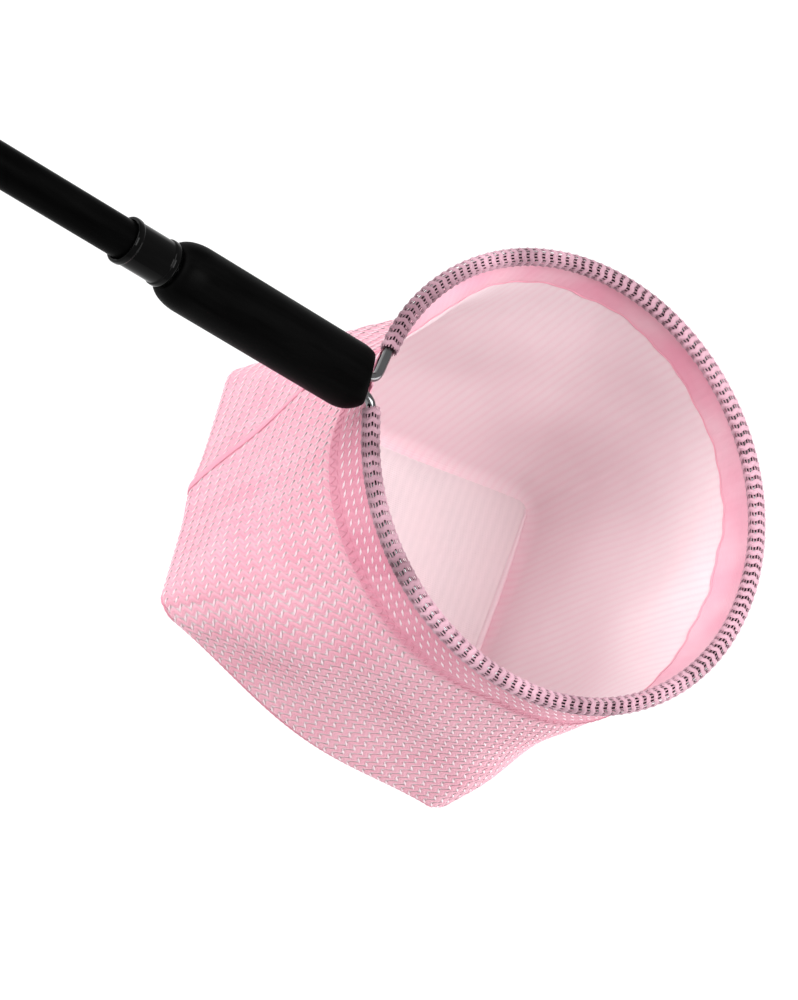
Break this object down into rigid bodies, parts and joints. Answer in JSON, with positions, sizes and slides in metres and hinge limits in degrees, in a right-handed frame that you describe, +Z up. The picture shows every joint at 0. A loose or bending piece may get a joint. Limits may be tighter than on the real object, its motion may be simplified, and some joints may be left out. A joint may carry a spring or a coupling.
{
  "type": "fish net",
  "caption": "Hand fish net with a telescopic rod, a round wire hoop held in a rounded socket and a deep square-bottomed knitted bag, for lifting fish from a tank.",
  "frame": {"origin": "on the handle's axis at the middle of the grip, where a hand holds it", "axes": "+X along the handle from the butt to the hoop, +Z up out of the net's mouth side, the handle level"},
  "size_m": [0.3692, 0.1006, 0.1071],
  "materials": {
    "black_lacquer": "satin",
    "black_moulding": "semi-gloss",
    "bright_collar": "polished",
    "bright_steel": "polished",
    "wire_steel": "bright drawn",
    "bush_brass": "turned",
    "guide_plastic": "matte",
    "net_pink": "open knit",
    "net_hem": "doubled knit",
    "net_thread": "sewn thread"
  },
  "bodies": {
    "handle": {"handle_tube": "black_lacquer", "end_cap": "black_moulding", "ferrule": "bright_collar", "mouth_bush": "guide_plastic"},
    "section": {"section_tube": "bright_steel", "section_bush": "bush_brass"},
    "tip_carrier": {"tip_bush": "bush_brass"},
    "head": {"tip_tube": "bright_steel", "net_socket": "black_moulding", "hoop_wire": "wire_steel", "hem_sleeve": "net_hem", "hem_band": "net_hem", "hem_stitch": "net_thread", "net_wall": "net_pink", "net_base": "net_pink", "base_seam": "net_thread", "side_seam": "net_thread"}
  },
  "joints": [
    {"name": "section_slide", "type": "slide", "parent": "handle", "child": "section", "axis": [1, 0, 0], "range_m": [0, 0.139]},
    {"name": "tip_slide", "type": "slide", "parent": "section", "child": "tip_carrier", "axis": [1, 0, 0], "range_m": [0, 0.1445]},
    {"name": "head_turn", "type": "hinge", "parent": "tip_carrier", "child": "head", "pos_m": [0.116, 0, 0], "axis": [1, 0, 0], "continuous": true}
  ]
}
